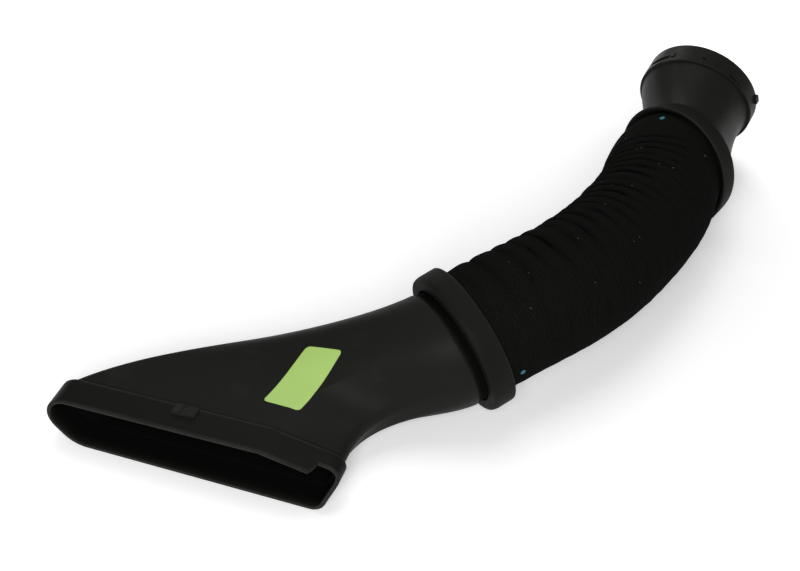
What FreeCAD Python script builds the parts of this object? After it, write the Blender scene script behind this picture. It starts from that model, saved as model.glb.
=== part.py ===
import FreeCAD, Part
import math
import os

# Air intake hose: a flat moulded scoop feeds a ribbed fabric hose, which two collars hold between the neck of
# the scoop and a flared elbow connector. Millimetres, +Z up, +Y the way the air flows. It lies on z = 0.

Vec = FreeCAD.Vector

# Walls and fits
PLASTIC_WALL = 2.5
FABRIC_WALL = 2.3
FIT = 0.1
OVERCUT = 1.0

# Mouth of the scoop, seen from the front: a low wide outline that rests on the floor
MOUTH_LEFT = 92.0
MOUTH_RIGHT = 79.5
MOUTH_HEIGHT = 35.5
TIP_DROP = 2.0
TIP_RADIUS = 13.5
KEEL_FROM_LEFT = 22.0
KEEL_RADIUS = 19.0
TOE_FROM_RIGHT = 15.5
TOE_RADIUS = 10.0
END_DROP = 7.0
END_RADIUS = 8.0
CREST_FROM_RIGHT = 43.5
CREST_RADIUS = 8.0

# Raised rim round the mouth, with a clip tab on top and a relief cut in its right-hand corner
RIM_DEPTH = 18.5
RIM_STEP = 2.0
TAB_ACROSS = -12.0
TAB_WIDTH = 14.0
TAB_LENGTH = 8.0
TAB_HEIGHT = 1.6
RELIEF_WIDTH = 13.5
RELIEF_DEPTH = 8.0
RELIEF_LOW = 4.0
RELIEF_HIGH = 22.0

# Body of the scoop: the way that its left and right sides leave the mouth, and how hard the walls leave the
# mouth and reach the neck, as shares of each wall's length. The right side holds straight, then turns hard.
LEFT_WALL_HEADING = 53.0
RIGHT_WALL_HEADING = 95.0
LEFT_MOUTH_PULL = 1.0
RIGHT_MOUTH_PULL = 1.75
LEFT_NECK_PULL = 0.7
RIGHT_NECK_PULL = 1.0
WALK_START = 197.0
OUTLINE_STEP = 16.0

# Neck of the scoop and the spigots that carry the hose
SPIGOT_RADIUS = 35.0
SPIGOT_SETBACK = 1.0
SPIGOT_STEP = 0.7

# Collars: a wide band over the hose end, a narrow shoulder, and an inner flange between hose and neck. The
# rear one's band narrows toward the connector.
FRONT_COLLAR_WALL = 5.5
REAR_COLLAR_WALL = 5.0
REAR_COLLAR_TAPER = 3.2
COLLAR_BAND = 11.0
COLLAR_EDGE = 0.8
SHOULDER_SHARE = 0.5
SHOULDER_LENGTH = 3.0
NECK_GROOVE = 1.3
GROOVE_DEPTH = 2.0
FLANGE_THICKNESS = 2.0
LIP_SHARE = 0.4
LIP_DEPTH = 4.0

# Where the collars and the connector stand
FRONT_COLLAR = (115.2, 112.0)
FRONT_HEADING = 49.3
FRONT_RISE = 14.0
REAR_COLLAR = (195.4, 320.5)
REAR_HEADING = 62.0
REAR_RISE = -1.0
BELL_PLACE = (196.3, 399.0, 54.0)
BELL_HEADING = 79.3
BELL_RISE = 14.0

# Fabric hose: its bow off the straight line between the collars, and its ribs
BOWS = ((0.3, 18.8, 5.3), (0.6, 19.0, 1.6), (0.86, 7.9, 1.2))
RIB_PITCH = 10.0
RIB_RISE = 1.0
RIB_SINK = 0.6
FRONT_CUFF = 6.0
REAR_CUFF = 24.0
BORE_STEP = 18.0

# Flared connector: a waist, then a band with latch slots and bumps, a stop block and a lug at the rim. The
# flare meets the band to the left of its middle. Angles go round the bell's axis from level right by way of up.
BELL_BORE_RADIUS = 36.2
BELL_WALL = 3.0
BELL_BAND = 14.0
BAND_STEP = 0.7
ELBOW_PULL = 25.0
FLARE_PULL = 60.0
WAIST_DIP = 14.0
FLARE_SPREAD = 18.0
FLARE_OFFSET = 1.2
CONNECTOR_STRANDS = 24
LATCHES = 4
LATCH_ANGLE = 47.0
SLOT_SWEEP = 16.0
SLOT_FROM_RIM = 9.5
SLOT_WIDTH = 3.0
SLOT_DEPTH = 1.4
BUMP_FROM_RIM = 7.5
BUMP_GAP = 2.0
BUMP_SWEEP = 4.0
BUMP_RISE = 0.9
BLOCK_ANGLE = 68.0
LUG_ANGLE = 7.0
LUG_SWEEP = 7.0
LUG_LENGTH = 5.0
LUG_RISE = 1.8

# Sizes that follow from the ones above
NECK_RADIUS = SPIGOT_RADIUS + SPIGOT_STEP
HOSE_BORE = SPIGOT_RADIUS + FIT
CUFF_RADIUS = HOSE_BORE + FABRIC_WALL
COLLAR_BORE = CUFF_RADIUS + FIT
BELL_RADIUS = BELL_BORE_RADIUS + BELL_WALL
FLARE_RADIUS = BELL_RADIUS - BAND_STEP - FLARE_OFFSET
BORE_DEPTH = BELL_BAND - PLASTIC_WALL


def direction(heading, rise):
    """Unit vector that points heading degrees round from +X and rise degrees above the floor."""
    turn = math.radians(heading)
    climb = math.radians(rise)
    return Vec(math.cos(climb) * math.cos(turn), math.cos(climb) * math.sin(turn), math.sin(climb))


def collar_centre(place, rise, wall):
    """Middle of a collar's band, at the height that rests the band on the floor."""
    climb = math.radians(rise)
    height = (COLLAR_BORE + wall) * math.cos(climb) + COLLAR_BAND / 2 * math.sin(abs(climb))
    return Vec(place[0], place[1], height)


FRONT_AXIS = direction(FRONT_HEADING, FRONT_RISE)
REAR_AXIS = direction(REAR_HEADING, REAR_RISE)
BELL_AXIS = direction(BELL_HEADING, BELL_RISE)
FRONT_CENTRE = collar_centre(FRONT_COLLAR, FRONT_RISE, FRONT_COLLAR_WALL)
REAR_CENTRE = collar_centre(REAR_COLLAR, REAR_RISE, REAR_COLLAR_WALL)
BELL_END = Vec(*BELL_PLACE)

# Distances from the middle of a collar's band, away from the hose
SHOULDER_END = COLLAR_BAND / 2 + SHOULDER_LENGTH
NECK_STOP = SHOULDER_END - GROOVE_DEPTH
HOSE_STOP = NECK_STOP - FLANGE_THICKNESS


def blend(start, end, share):
    """Value at a share of the way from start to end."""
    return start + (end - start) * share


def across_axis(axis):
    """The level and the upright unit vectors square to an axis."""
    right = axis.cross(Vec(0, 0, 1))
    right.normalize()
    up = right.cross(axis)
    up.normalize()
    return right, up


def circle(centre, axis, radius):
    """Circle whose seam lies level on the right, so that circles along a curved path don't twist."""
    right, up = across_axis(axis)
    return Part.Circle(centre + right * radius, centre + up * radius, centre - right * radius).toShape()


def smooth_loop(points, shares):
    """Closed curve that passes each point at its share of the way round."""
    curve = Part.BSplineCurve()
    curve.interpolate(Points=points, PeriodicFlag=True, Parameters=shares + [1.0])
    return curve


def closed_solid(faces):
    """Solid inside faces that meet all round."""
    shell = Part.Shell(faces)
    shell.sewShape()
    solid = Part.Solid(shell)
    if solid.Volume < 0:
        solid.reverse()
    return solid


def banded_solid(rings):
    """Solid whose side runs straight from each ring to the next, with a flat face at both ends."""
    faces = [Part.makeRuledSurface(first, second) for first, second in zip(rings, rings[1:])]
    faces += [Part.Face(Part.Wire(ring)) for ring in (rings[0], rings[-1])]
    return closed_solid(faces)


def strand_solid(strands, shares):
    """Solid whose side is one smooth surface along cubic strands, each a (start, end, leave, arrive) set."""
    rows = zip(*[(start, start + leave / 3, end - arrive / 3, end) for start, end, leave, arrive in strands])
    loops = [smooth_loop(list(row), shares) for row in rows]
    poles = [list(column) for column in zip(*[loop.getPoles() for loop in loops])]
    surface = Part.BSplineSurface()
    surface.buildFromPolesMultsKnots(poles, loops[0].getMultiplicities(), [4, 4], loops[0].getKnots(), [0, 1],
                                     True, False, 3, 3)
    side = surface.toShape()
    ends = [Part.Face(Part.Wire(edge)) for edge in side.Edges if edge.isClosed()]
    return closed_solid([side] + ends)


def spoke(axis, share):
    """Unit vector square to an axis, at a share of a turn from level right by way of up."""
    right, up = across_axis(axis)
    angle = 2 * math.pi * share
    return right * math.cos(angle) + up * math.sin(angle)


def turned(profile, centre, axis, start=0, sweep=360):
    """Solid turned from a closed (distance, radius) profile, swept from an angle by way of up, in degrees."""
    outward = spoke(axis, start / 360)
    points = [centre + axis * along + outward * radius for along, radius in profile]
    face = Part.Face(Part.makePolygon(points + points[:1]))
    return face.revolve(centre, -axis, sweep)


def ring_piece(start, sweep, front, rear, inner, outer):
    """Piece of a ring round the flared end, between two distances along its axis and two radii."""
    profile = [(front, inner), (rear, inner), (rear, outer), (front, outer)]
    return turned(profile, BELL_END, BELL_AXIS, start, sweep)


def mouth_corners(inset):
    """The corner discs of the mouth, anticlockwise from the lower left, as (across, height, radius)."""
    return [
        (KEEL_FROM_LEFT - MOUTH_LEFT, KEEL_RADIUS, KEEL_RADIUS - inset),
        (MOUTH_RIGHT - TOE_FROM_RIGHT, TOE_RADIUS, TOE_RADIUS - inset),
        (MOUTH_RIGHT - END_RADIUS, MOUTH_HEIGHT - END_DROP - END_RADIUS, END_RADIUS - inset),
        (MOUTH_RIGHT - CREST_FROM_RIGHT, MOUTH_HEIGHT - CREST_RADIUS, CREST_RADIUS - inset),
        (TIP_RADIUS - MOUTH_LEFT, MOUTH_HEIGHT - TIP_DROP - TIP_RADIUS, TIP_RADIUS - inset),
    ]


def tangent_angle(first, second):
    """Angle of the outward normal of the line that touches two discs on the way round."""
    across = second[0] - first[0]
    up = second[1] - first[1]
    return math.atan2(up, across) - math.acos((first[2] - second[2]) / math.hypot(across, up))


def mouth_arcs(inset, along):
    """Start, middle and end of the arc round each corner of the mouth, moved in by inset."""
    corners = mouth_corners(inset)
    angles = [tangent_angle(first, second) for first, second in zip(corners, corners[1:] + corners[:1])]
    arcs = []
    for i, (across, height, radius) in enumerate(corners):
        start = angles[i - 1]
        turn = (angles[i] - start) % (2 * math.pi)
        rays = [start, start + turn / 2, start + turn]
        arcs.append([Vec(across + radius * math.cos(ray), along, height + radius * math.sin(ray))
                     for ray in rays])
    return arcs


def mouth_points(inset, along):
    """Points round the mouth: three on each corner, and even steps on the straight lines between them."""
    arcs = mouth_arcs(inset, along)
    points = []
    for arc, following in zip(arcs, arcs[1:] + arcs[:1]):
        count = math.ceil(arc[2].distanceToPoint(following[0]) / OUTLINE_STEP)
        points += arc
        points += [blend(arc[2], following[0], i / count) for i in range(1, count)]
    return points


def mouth_wire(inset, along):
    """The mouth's outline, moved in by inset: arcs round the corners, joined by straight lines."""
    arcs = mouth_arcs(inset, along)
    edges = []
    for arc, following in zip(arcs, arcs[1:] + arcs[:1]):
        edges.append(Part.Arc(*arc).toShape())
        edges.append(Part.LineSegment(arc[2], following[0]).toShape())
    return Part.Wire(edges)


def mouth_block(inset, start, end):
    return Part.Face(mouth_wire(inset, start)).extrude(Vec(0, end - start, 0))


def shares_round(points):
    """Each point's share of the way round a closed line of points."""
    lengths = [first.distanceToPoint(second) for first, second in zip(points, points[1:] + points[:1])]
    return [sum(lengths[:i]) / sum(lengths) for i in range(len(points))]


def scoop_skin(inset, start):
    """Solid inside the scoop's wall: its strands leave the mouth at start and gather into the round neck."""
    neck_end = FRONT_CENTRE - FRONT_AXIS * (NECK_STOP + FIT)
    shares = shares_round(mouth_points(RIM_STEP, start))
    strands = []
    for place, share in zip(mouth_points(RIM_STEP + inset, start), shares):
        side = (place.x + MOUTH_LEFT) / (MOUTH_LEFT + MOUTH_RIGHT)
        target = neck_end + spoke(FRONT_AXIS, share + WALK_START / 360) * (NECK_RADIUS - inset)
        length = place.distanceToPoint(target)
        heading = blend(LEFT_WALL_HEADING, RIGHT_WALL_HEADING, side)
        leave = direction(heading, 0) * (length * blend(LEFT_MOUTH_PULL, RIGHT_MOUTH_PULL, side ** 3))
        arrive = FRONT_AXIS * (length * blend(LEFT_NECK_PULL, RIGHT_NECK_PULL, side ** 3))
        strands.append((place, target, leave, arrive))
    return strand_solid(strands, shares)


def intake_scoop():
    spigot_start = FRONT_CENTRE - FRONT_AXIS * (NECK_STOP + FIT)
    spigot_length = NECK_STOP + FIT + COLLAR_BAND / 2 - SPIGOT_SETBACK
    spigot = Part.makeCylinder(SPIGOT_RADIUS, spigot_length, spigot_start, FRONT_AXIS)
    spigot_bore = Part.makeCylinder(SPIGOT_RADIUS - PLASTIC_WALL, spigot_length + OVERCUT,
                                    spigot_start, FRONT_AXIS)
    solid = mouth_block(0, 0, RIM_DEPTH).fuse([scoop_skin(0, RIM_DEPTH), spigot, clip_tab()])
    inside_start = RIM_DEPTH - PLASTIC_WALL
    return solid.cut([mouth_block(PLASTIC_WALL, -OVERCUT, inside_start), scoop_skin(PLASTIC_WALL, inside_start),
                      spigot_bore, corner_relief()])


def clip_tab():
    """Low block on the straight top of the rim, sunk half a wall into it, flush with the rim's rear edge."""
    crest, tip = mouth_arcs(0, 0)[-2:]
    left = TAB_ACROSS - TAB_WIDTH / 2
    right = TAB_ACROSS + TAB_WIDTH / 2
    slope = (tip[0].z - crest[2].z) / (tip[0].x - crest[2].x)
    profile = []
    sunk = -PLASTIC_WALL / 2
    for across, rise in ((left, sunk), (right, sunk), (right, TAB_HEIGHT), (left, TAB_HEIGHT)):
        profile.append(Vec(across, RIM_DEPTH - TAB_LENGTH, crest[2].z + slope * (across - crest[2].x) + rise))
    return Part.Face(Part.makePolygon(profile + profile[:1])).extrude(Vec(0, TAB_LENGTH, 0))


def corner_relief():
    """Cut that sets the rim back at the upper right corner of the mouth."""
    across = MOUTH_RIGHT - RELIEF_WIDTH
    profile = [Vec(across, -OVERCUT, RELIEF_LOW), Vec(across, RELIEF_DEPTH, RELIEF_HIGH),
               Vec(across, RELIEF_DEPTH, MOUTH_HEIGHT), Vec(across, -OVERCUT, MOUTH_HEIGHT)]
    return Part.Face(Part.makePolygon(profile + profile[:1])).extrude(Vec(RELIEF_WIDTH + OVERCUT, 0, 0))


def collar(centre, outward, wall, taper):
    """Collar whose shoulder points outward, away from the hose."""
    half = COLLAR_BAND / 2
    radius = COLLAR_BORE + wall
    narrow = radius - taper
    shoulder = narrow - (wall - taper) * SHOULDER_SHARE
    profile = [
        (-half, COLLAR_BORE + wall * LIP_SHARE),
        (-half, radius - COLLAR_EDGE),
        (-half + COLLAR_EDGE, radius),
        (half - COLLAR_EDGE, narrow),
        (half, narrow - COLLAR_EDGE),
        (half, shoulder),
        (SHOULDER_END - COLLAR_EDGE, shoulder),
        (SHOULDER_END, shoulder - COLLAR_EDGE),
        (SHOULDER_END, NECK_RADIUS + NECK_GROOVE),
        (NECK_STOP, NECK_RADIUS + NECK_GROOVE),
        (NECK_STOP, SPIGOT_RADIUS + FIT),
        (HOSE_STOP, SPIGOT_RADIUS + FIT),
        (HOSE_STOP, COLLAR_BORE),
        (LIP_DEPTH - half, COLLAR_BORE),
    ]
    return turned(profile, centre, outward)


def hose_path():
    """The hose's middle line between the two collars' open faces."""
    start = FRONT_CENTRE + FRONT_AXIS * (COLLAR_BAND / 2)
    end = REAR_CENTRE - REAR_AXIS * (COLLAR_BAND / 2)
    chord = end - start
    side, up = across_axis(chord)
    points = [start]
    for share, sideways, lift in BOWS:
        points.append(start + chord * share + side * sideways + Vec(0, 0, lift))
    points.append(end)
    curve = Part.BSplineCurve()
    curve.interpolate(Points=points, InitialTangent=FRONT_AXIS, FinalTangent=REAR_AXIS)
    return curve


def hose():
    path = hose_path()
    length = path.length()
    lead = COLLAR_BAND / 2 + HOSE_STOP - FIT

    def ring(distance, radius):
        if distance < 0:
            return circle(path.StartPoint + FRONT_AXIS * distance, FRONT_AXIS, radius)
        if distance > length:
            return circle(path.EndPoint + REAR_AXIS * (distance - length), REAR_AXIS, radius)
        place = path.parameterAtDistance(distance, path.FirstParameter)
        return circle(path.value(place), Vec(*path.tangent(place)[0]), radius)

    ribbed = length - FRONT_CUFF - REAR_CUFF
    count = round(ribbed / RIB_PITCH)
    pitch = ribbed / count
    rings = [ring(-lead, CUFF_RADIUS), ring(0, CUFF_RADIUS)]
    for i in range(count):
        valley = FRONT_CUFF + i * pitch
        rings.append(ring(valley, CUFF_RADIUS - RIB_SINK))
        rings.append(ring(valley + pitch / 2, CUFF_RADIUS + RIB_RISE))
    rings.append(ring(length - REAR_CUFF, CUFF_RADIUS - RIB_SINK))
    rings.append(ring(length - REAR_CUFF + pitch / 2, CUFF_RADIUS))
    rings.append(ring(length, CUFF_RADIUS))
    rings.append(ring(length + lead, CUFF_RADIUS))
    steps = round(length / BORE_STEP)
    bore = [ring(-lead - OVERCUT, HOSE_BORE)]
    bore += [ring(length * i / steps, HOSE_BORE) for i in range(steps + 1)]
    bore.append(ring(length + lead + OVERCUT, HOSE_BORE))
    return banded_solid(rings).cut(banded_solid(bore))


def flare(inset):
    """Solid inside the connector's wall, from the rear collar through the waist into the bell's bore."""
    start = REAR_CENTRE + REAR_AXIS * (NECK_STOP + FIT)
    end = BELL_END - BELL_AXIS * (BORE_DEPTH - OVERCUT) - across_axis(BELL_AXIS)[0] * FLARE_OFFSET
    shares = [i / CONNECTOR_STRANDS for i in range(CONNECTOR_STRANDS)]
    strands = []
    for share in shares:
        near = spoke(REAR_AXIS, share)
        far = spoke(BELL_AXIS, share)
        strands.append((start + near * (NECK_RADIUS - inset), end + far * (FLARE_RADIUS - inset),
                        REAR_AXIS * ELBOW_PULL - near * WAIST_DIP,
                        BELL_AXIS * FLARE_PULL + far * FLARE_SPREAD))
    return strand_solid(strands, shares)


def latch_slot(angle):
    rear = -SLOT_FROM_RIM
    return ring_piece(angle, SLOT_SWEEP, rear - SLOT_WIDTH, rear,
                      BELL_RADIUS - SLOT_DEPTH, BELL_RADIUS + OVERCUT)


def band_bump(angle):
    """Low block on the band."""
    rear = -BUMP_FROM_RIM
    return ring_piece(angle, BUMP_SWEEP, rear - SLOT_WIDTH, rear,
                      BELL_BORE_RADIUS + OVERCUT, BELL_RADIUS + BUMP_RISE)


def connector():
    spigot_start = REAR_CENTRE + REAR_AXIS * (NECK_STOP + FIT)
    spigot_length = NECK_STOP + FIT + COLLAR_BAND / 2 - SPIGOT_SETBACK
    spigot = Part.makeCylinder(SPIGOT_RADIUS, spigot_length, spigot_start, -REAR_AXIS)
    spigot_bore = Part.makeCylinder(SPIGOT_RADIUS - PLASTIC_WALL, spigot_length + OVERCUT,
                                    spigot_start, -REAR_AXIS)
    band_start = BELL_END - BELL_AXIS * BELL_BAND
    band = Part.makeCylinder(BELL_RADIUS, BELL_BAND, band_start, BELL_AXIS)
    bell_bore = Part.makeCylinder(BELL_BORE_RADIUS, BELL_BAND, BELL_END - BELL_AXIS * BORE_DEPTH, BELL_AXIS)
    latches = [LATCH_ANGLE + 360 / LATCHES * i for i in range(LATCHES)]
    bumps = [band_bump(angle - BUMP_GAP - BUMP_SWEEP) for angle in latches] + [band_bump(BLOCK_ANGLE)]
    lug = ring_piece(LUG_ANGLE, LUG_SWEEP, -LUG_LENGTH, 0, BELL_BORE_RADIUS + OVERCUT, BELL_RADIUS + LUG_RISE)
    solid = flare(0).fuse([spigot, band, lug] + bumps)
    bores = [flare(PLASTIC_WALL), spigot_bore, bell_bore]
    return solid.cut(bores + [latch_slot(angle) for angle in latches])


def main():
    pieces = {
        "intake_scoop": intake_scoop(),
        "front_collar": collar(FRONT_CENTRE, -FRONT_AXIS, FRONT_COLLAR_WALL, 0),
        "hose": hose(),
        "rear_collar": collar(REAR_CENTRE, REAR_AXIS, REAR_COLLAR_WALL, REAR_COLLAR_TAPER),
        "connector": connector(),
    }
    box = Part.makeCompound(list(pieces.values())).optimalBoundingBox(False)
    shift = Vec(-box.Center.x, -box.Center.y, -box.ZMin)
    os.makedirs("parts", exist_ok=True)
    for name, shape in pieces.items():
        shape.translate(shift)
        shape.exportStep("parts/" + name + ".step")


main()
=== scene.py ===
import math

import bmesh
import bpy
import numpy as np
from bpy.props import FloatProperty, FloatVectorProperty, IntProperty, PointerProperty
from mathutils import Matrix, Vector, noise
from mathutils.bvhtree import BVHTree


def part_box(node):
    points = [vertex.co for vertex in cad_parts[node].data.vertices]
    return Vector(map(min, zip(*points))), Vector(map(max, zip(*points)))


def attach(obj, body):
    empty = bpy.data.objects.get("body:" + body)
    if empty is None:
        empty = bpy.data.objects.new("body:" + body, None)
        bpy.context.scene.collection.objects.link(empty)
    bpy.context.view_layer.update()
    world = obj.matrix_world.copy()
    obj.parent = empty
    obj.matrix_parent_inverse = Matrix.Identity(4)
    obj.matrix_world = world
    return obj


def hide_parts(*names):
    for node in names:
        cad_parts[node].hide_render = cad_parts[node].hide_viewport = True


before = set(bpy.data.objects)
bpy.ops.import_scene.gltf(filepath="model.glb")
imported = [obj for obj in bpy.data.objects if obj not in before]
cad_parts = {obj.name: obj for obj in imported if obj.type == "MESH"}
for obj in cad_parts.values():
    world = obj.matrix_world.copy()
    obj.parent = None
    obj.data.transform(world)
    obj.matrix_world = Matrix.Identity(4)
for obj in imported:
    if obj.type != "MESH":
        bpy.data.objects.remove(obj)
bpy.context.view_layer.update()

bl_info = {
    "name": "Air Intake Hose",
    "version": (1, 0, 0),
    "blender": (4, 5, 0),
    "location": "3D View > Sidebar > Air Intake",
    "description": "Dresses the CAD frame of an air intake hose: scoop, collars, hose and connector",
    "category": "Object",
}

SCOOP_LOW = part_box("intake_scoop")[0]
UP = np.array((0.0, 0.0, 1.0))

# Corners of the mouth's outline: how far each rounding lies from the outline's ends and top, and its radius
TIP_DROP, TIP_RADIUS = 0.002, 0.0135
KEEL_FROM_LEFT, KEEL_RADIUS = 0.022, 0.019
TOE_FROM_RIGHT, TOE_RADIUS = 0.0155, 0.010
END_DROP, END_RADIUS = 0.007, 0.008
CREST_FROM_RIGHT, CREST_RADIUS = 0.0435, 0.008

# Cut-away corner of the lip, and the slotted clip tab on the rim
RELIEF_WIDTH, RELIEF_DEPTH = 0.0135, 0.008
RELIEF_LOW, RELIEF_HIGH = 0.006, 0.022
TAB_ACROSS, TAB_WIDTH, TAB_LENGTH, TAB_HEIGHT = -0.012, 0.014, 0.008, 0.0016
TAB_SLOT_START, TAB_SLOT_END, TAB_SLOT_DEPTH = -0.0022, 0.0, 0.0011
# The third value here is the strength of a painted highlight over the whole clip tab
TAB_SETBACK, TAB_BEVEL, TAB_HIGHLIGHT = 0.0003, 0.0004, 0.3

# The way that the scoop's walls leave the mouth and reach the neck
LEFT_WALL_HEADING, RIGHT_WALL_HEADING = 53.0, 95.0
LEFT_MOUTH_PULL, RIGHT_MOUTH_PULL = 1.0, 1.75
LEFT_NECK_PULL, RIGHT_NECK_PULL = 0.7, 1.0
WALK_START = 197.0

# Places of the collars and of the flared end, from the middle of the mouth's bottom edge
FRONT_PLACE, FRONT_HEADING, FRONT_RISE = (0.1152, 0.1120), 49.3, 14.0
REAR_PLACE, REAR_HEADING, REAR_RISE = (0.1954, 0.3205), 62.0, -1.0
BELL_PLACE, BELL_HEADING, BELL_RISE = (0.1963, 0.3990, 0.0540), 79.3, 14.0

# Bows of the hose between its collars: share of the way, distance to the right and lift
BOWS = ((0.3, 0.0188, 0.0053), (0.6, 0.0190, 0.0016), (0.86, 0.0079, 0.0012))

# Ribs of the hose: how they crowd toward the rear and wander, and the side in radians where they are gathered
RIB_CROWDING, RIB_WANDER, CREST_POWER, GATHERED_SIDE = 0.22, 0.3, 0.5, 2.62
PLAIN_STRENGTH, GATHERED_STRENGTH, FRONT_STRENGTH = 0.12, 0.76, 0.6
# The second value here is the strength of the painted shade in the creases
CREASE_DEPTH, CREASE_DARKNESS, CRUMPLE = 2.4, 1.3, 0.00022

# Fits between the hose, the collars and the necks
NECK_RADIUS, SPIGOT_RADIUS, FIT = 0.0357, 0.0350, 0.0001
SHOULDER_LENGTH, GROOVE_DEPTH, FLANGE_THICKNESS, NECK_GROOVE = 0.003, 0.002, 0.002, 0.0013
FRONT_SHOULDER, REAR_SHOULDER, LIP_SHARE, LIP_DEPTH = 0.16, 0.25, 0.55, 0.004
COVE_START, COVE_END, COVE_DEPTH, SPIGOT_SETBACK = -0.0082, -0.0044, 0.0015, 0.001

# Steps round the pieces, rows along the scoop and the distance between rows of the hose
COLLAR_STEPS, HOSE_STEPS, CONNECTOR_STEPS, HOSE_ROW = 200, 208, 220, 0.00056
RIM_ROWS, BODY_ROWS, NECK_ROWS, INNER_ROWS, LIP_ROWS = 15, 52, 26, 44, 6

# Marks that the materials read: painted shade inside the scoop, a darker rim band, and painted highlights on
# rounded edges
INSIDE_SHADE, RIM_DARKENING = 0.95, 0.35
LIP_HIGHLIGHT, COLLAR_HIGHLIGHT_REACH = 0.8, 0.0012

# Walls of the connector: pulls of its cubic sides, and the slant of its band
ELBOW_PULL, FLARE_PULL, WAIST_DIP, FLARE_SPREAD, FLARE_OFFSET = 0.025, 0.060, 0.014, 0.018, 0.0012
BAND_SLANT, SLANT_ANGLE, FLARE_FULLNESS, FLARE_OVERLAP, BAND_EDGE = 0.0026, 150.0, 0.0014, 0.001, 0.0005

# Latch details of the connector's band: start and sweep in degrees, distance from the rim, length, height
SLOT_DEPTH, BUMP_RISE, LUG_RISE = -0.0014, 0.0009, 0.0018
BAND_MARKS = (
    (121.0, 26.0, 0.0084, 0.0030, SLOT_DEPTH), (115.0, 4.0, 0.0075, 0.0030, BUMP_RISE),
    (83.0, 3.0, 0.0084, 0.0016, SLOT_DEPTH), (68.0, 4.0, 0.0075, 0.0030, BUMP_RISE),
    (45.0, 10.0, 0.0110, 0.0018, SLOT_DEPTH), (39.0, 4.0, 0.0100, 0.0029, BUMP_RISE),
    (225.0, 16.0, 0.0088, 0.0020, SLOT_DEPTH), (219.0, 4.0, 0.0075, 0.0030, BUMP_RISE),
    (315.0, 16.0, 0.0088, 0.0020, SLOT_DEPTH), (309.0, 4.0, 0.0075, 0.0030, BUMP_RISE),
    (7.0, 7.0, 0.0, 0.0050, LUG_RISE),
)

# Label on the scoop, from the middle of the mouth's bottom edge, and dots and fibres on the hose
LABEL_PLACE, LABEL_LONG_HEADING, LABEL_SHORT_HEADING = (0.0410, 0.0527), 68.8, -1.0
LABEL_RINGS, LABEL_LIFT, DROP_HEIGHT = 16, 0.00022, 0.2
FRONT_DOT_GAP, FRONT_DOT_ANGLE, REAR_DOT_GAP, REAR_DOT_ANGLE = 0.0085, -9.4, 0.0046, 104.9
DOT_RINGS, DOT_LIFT = 3, 0.00015
FIBRE_WIDTH, FIBRE_ARCH, FIBRE_CROWN = 0.00016, 0.00022, 0.00018

# Soft boxes of the studio: name, place, aim, size and watts
SOFT_BOXES = (
    ("camera_box", (0.34, -1.10, 0.82), (0.03, -0.05, 0.03), 0.6, 13.0),
    ("overhead_box", (-0.1, 0.2, 1.3), (0.0, 0.1, 0.0), 0.8, 6.0),
    ("left_box", (-0.3, 0.62, 0.42), (0.08, 0.2, 0.05), 0.35, 1.25),
    ("right_box", (1.2, 0.35, 0.6), (0.05, 0.15, 0.05), 0.5, 0.4),
)
WORLD_STRENGTH = 0.13
FLOOR_REACH, FLOOR_DROP = 12.0, 0.0002
# Painted glow of the floor: where its rise starts and ends, and its strength near and far
FILL_START, FILL_END, NEAR_FILL, FAR_FILL = 0.15, 0.6, 0.27, 0.85

# Camera of the photograph, from the middle of the mouth's bottom edge
CAMERA_PLACE = (0.2755, -0.4504, 0.5753)
CAMERA_AIM = (-0.25496, 0.71996, -0.64546)
CAMERA_LENS = 63.0


def length(name, text, default):
    """Property for a size in metres."""
    return FloatProperty(name=name, description=text, default=default, unit="LENGTH", precision=4)


def colour(name, text, default):
    """Property for a linear colour."""
    return FloatVectorProperty(name=name, description=text, default=default, subtype="COLOR", min=0, max=1)


class IntakeScoopSizes(bpy.types.PropertyGroup):
    mouth_left: length("Mouth left", "Reach of the mouth to the left of its middle", 0.092)
    mouth_right: length("Mouth right", "Reach of the mouth to the right of its middle", 0.0795)
    mouth_height: length("Mouth height", "Height of the mouth at its crest", 0.0355)
    rim_depth: length("Rim depth", "Length of the raised rim along the air flow", 0.0185)
    rim_step: length("Rim step", "How far the rim stands above the body", 0.002)
    wall: length("Wall", "Thickness of the moulding", 0.0025)
    lip_round: length("Lip rounding", "Rounding of the lip's edges", 0.0007)


class CollarSizes(bpy.types.PropertyGroup):
    bore: length("Bore", "Inner radius over the hose", 0.0375)
    front_wall: length("Front wall", "Thickness of the front collar", 0.0055)
    rear_wall: length("Rear wall", "Thickness of the rear collar at its lip", 0.005)
    rear_taper: length("Rear taper", "How far the rear collar narrows toward the connector", 0.002)
    band: length("Band", "Length of the collar's wide band", 0.011)
    edge_round: length("Edge rounding", "Rounding of the collar's edges", 0.0013)


class RibbedHoseSizes(bpy.types.PropertyGroup):
    radius: length("Radius", "Outer radius of the plain cuffs", 0.0374)
    wall: length("Wall", "Thickness of the fabric", 0.0023)
    rib_pitch: length("Rib pitch", "Mean distance between ribs", 0.0095)
    rib_rise: length("Rib rise", "How far a rib stands above the cuff", 0.0010)
    rib_sink: length("Rib sink", "How far a valley lies below the cuff", 0.0006)
    front_cuff: length("Front cuff", "Plain length behind the front collar", 0.006)
    rear_cuff: length("Rear cuff", "Plain length before the rear collar", 0.024)
    cuff_bulge: length("Cuff bulge", "How far the rear cuff swells on its inner side", 0.0004)


class ConnectorSizes(bpy.types.PropertyGroup):
    bore_radius: length("Bore radius", "Radius of the flared end's bore", 0.0362)
    bell_wall: length("Bell wall", "Thickness of the flared end's band", 0.003)
    band: length("Band", "Length of the flared end's band", 0.014)
    band_step: length("Band step", "How far the band stands above the flare", 0.0007)
    wall: length("Wall", "Thickness of the moulding", 0.0025)
    rim_round: length("Rim rounding", "Rounding of the rim's edges", 0.0007)


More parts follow.
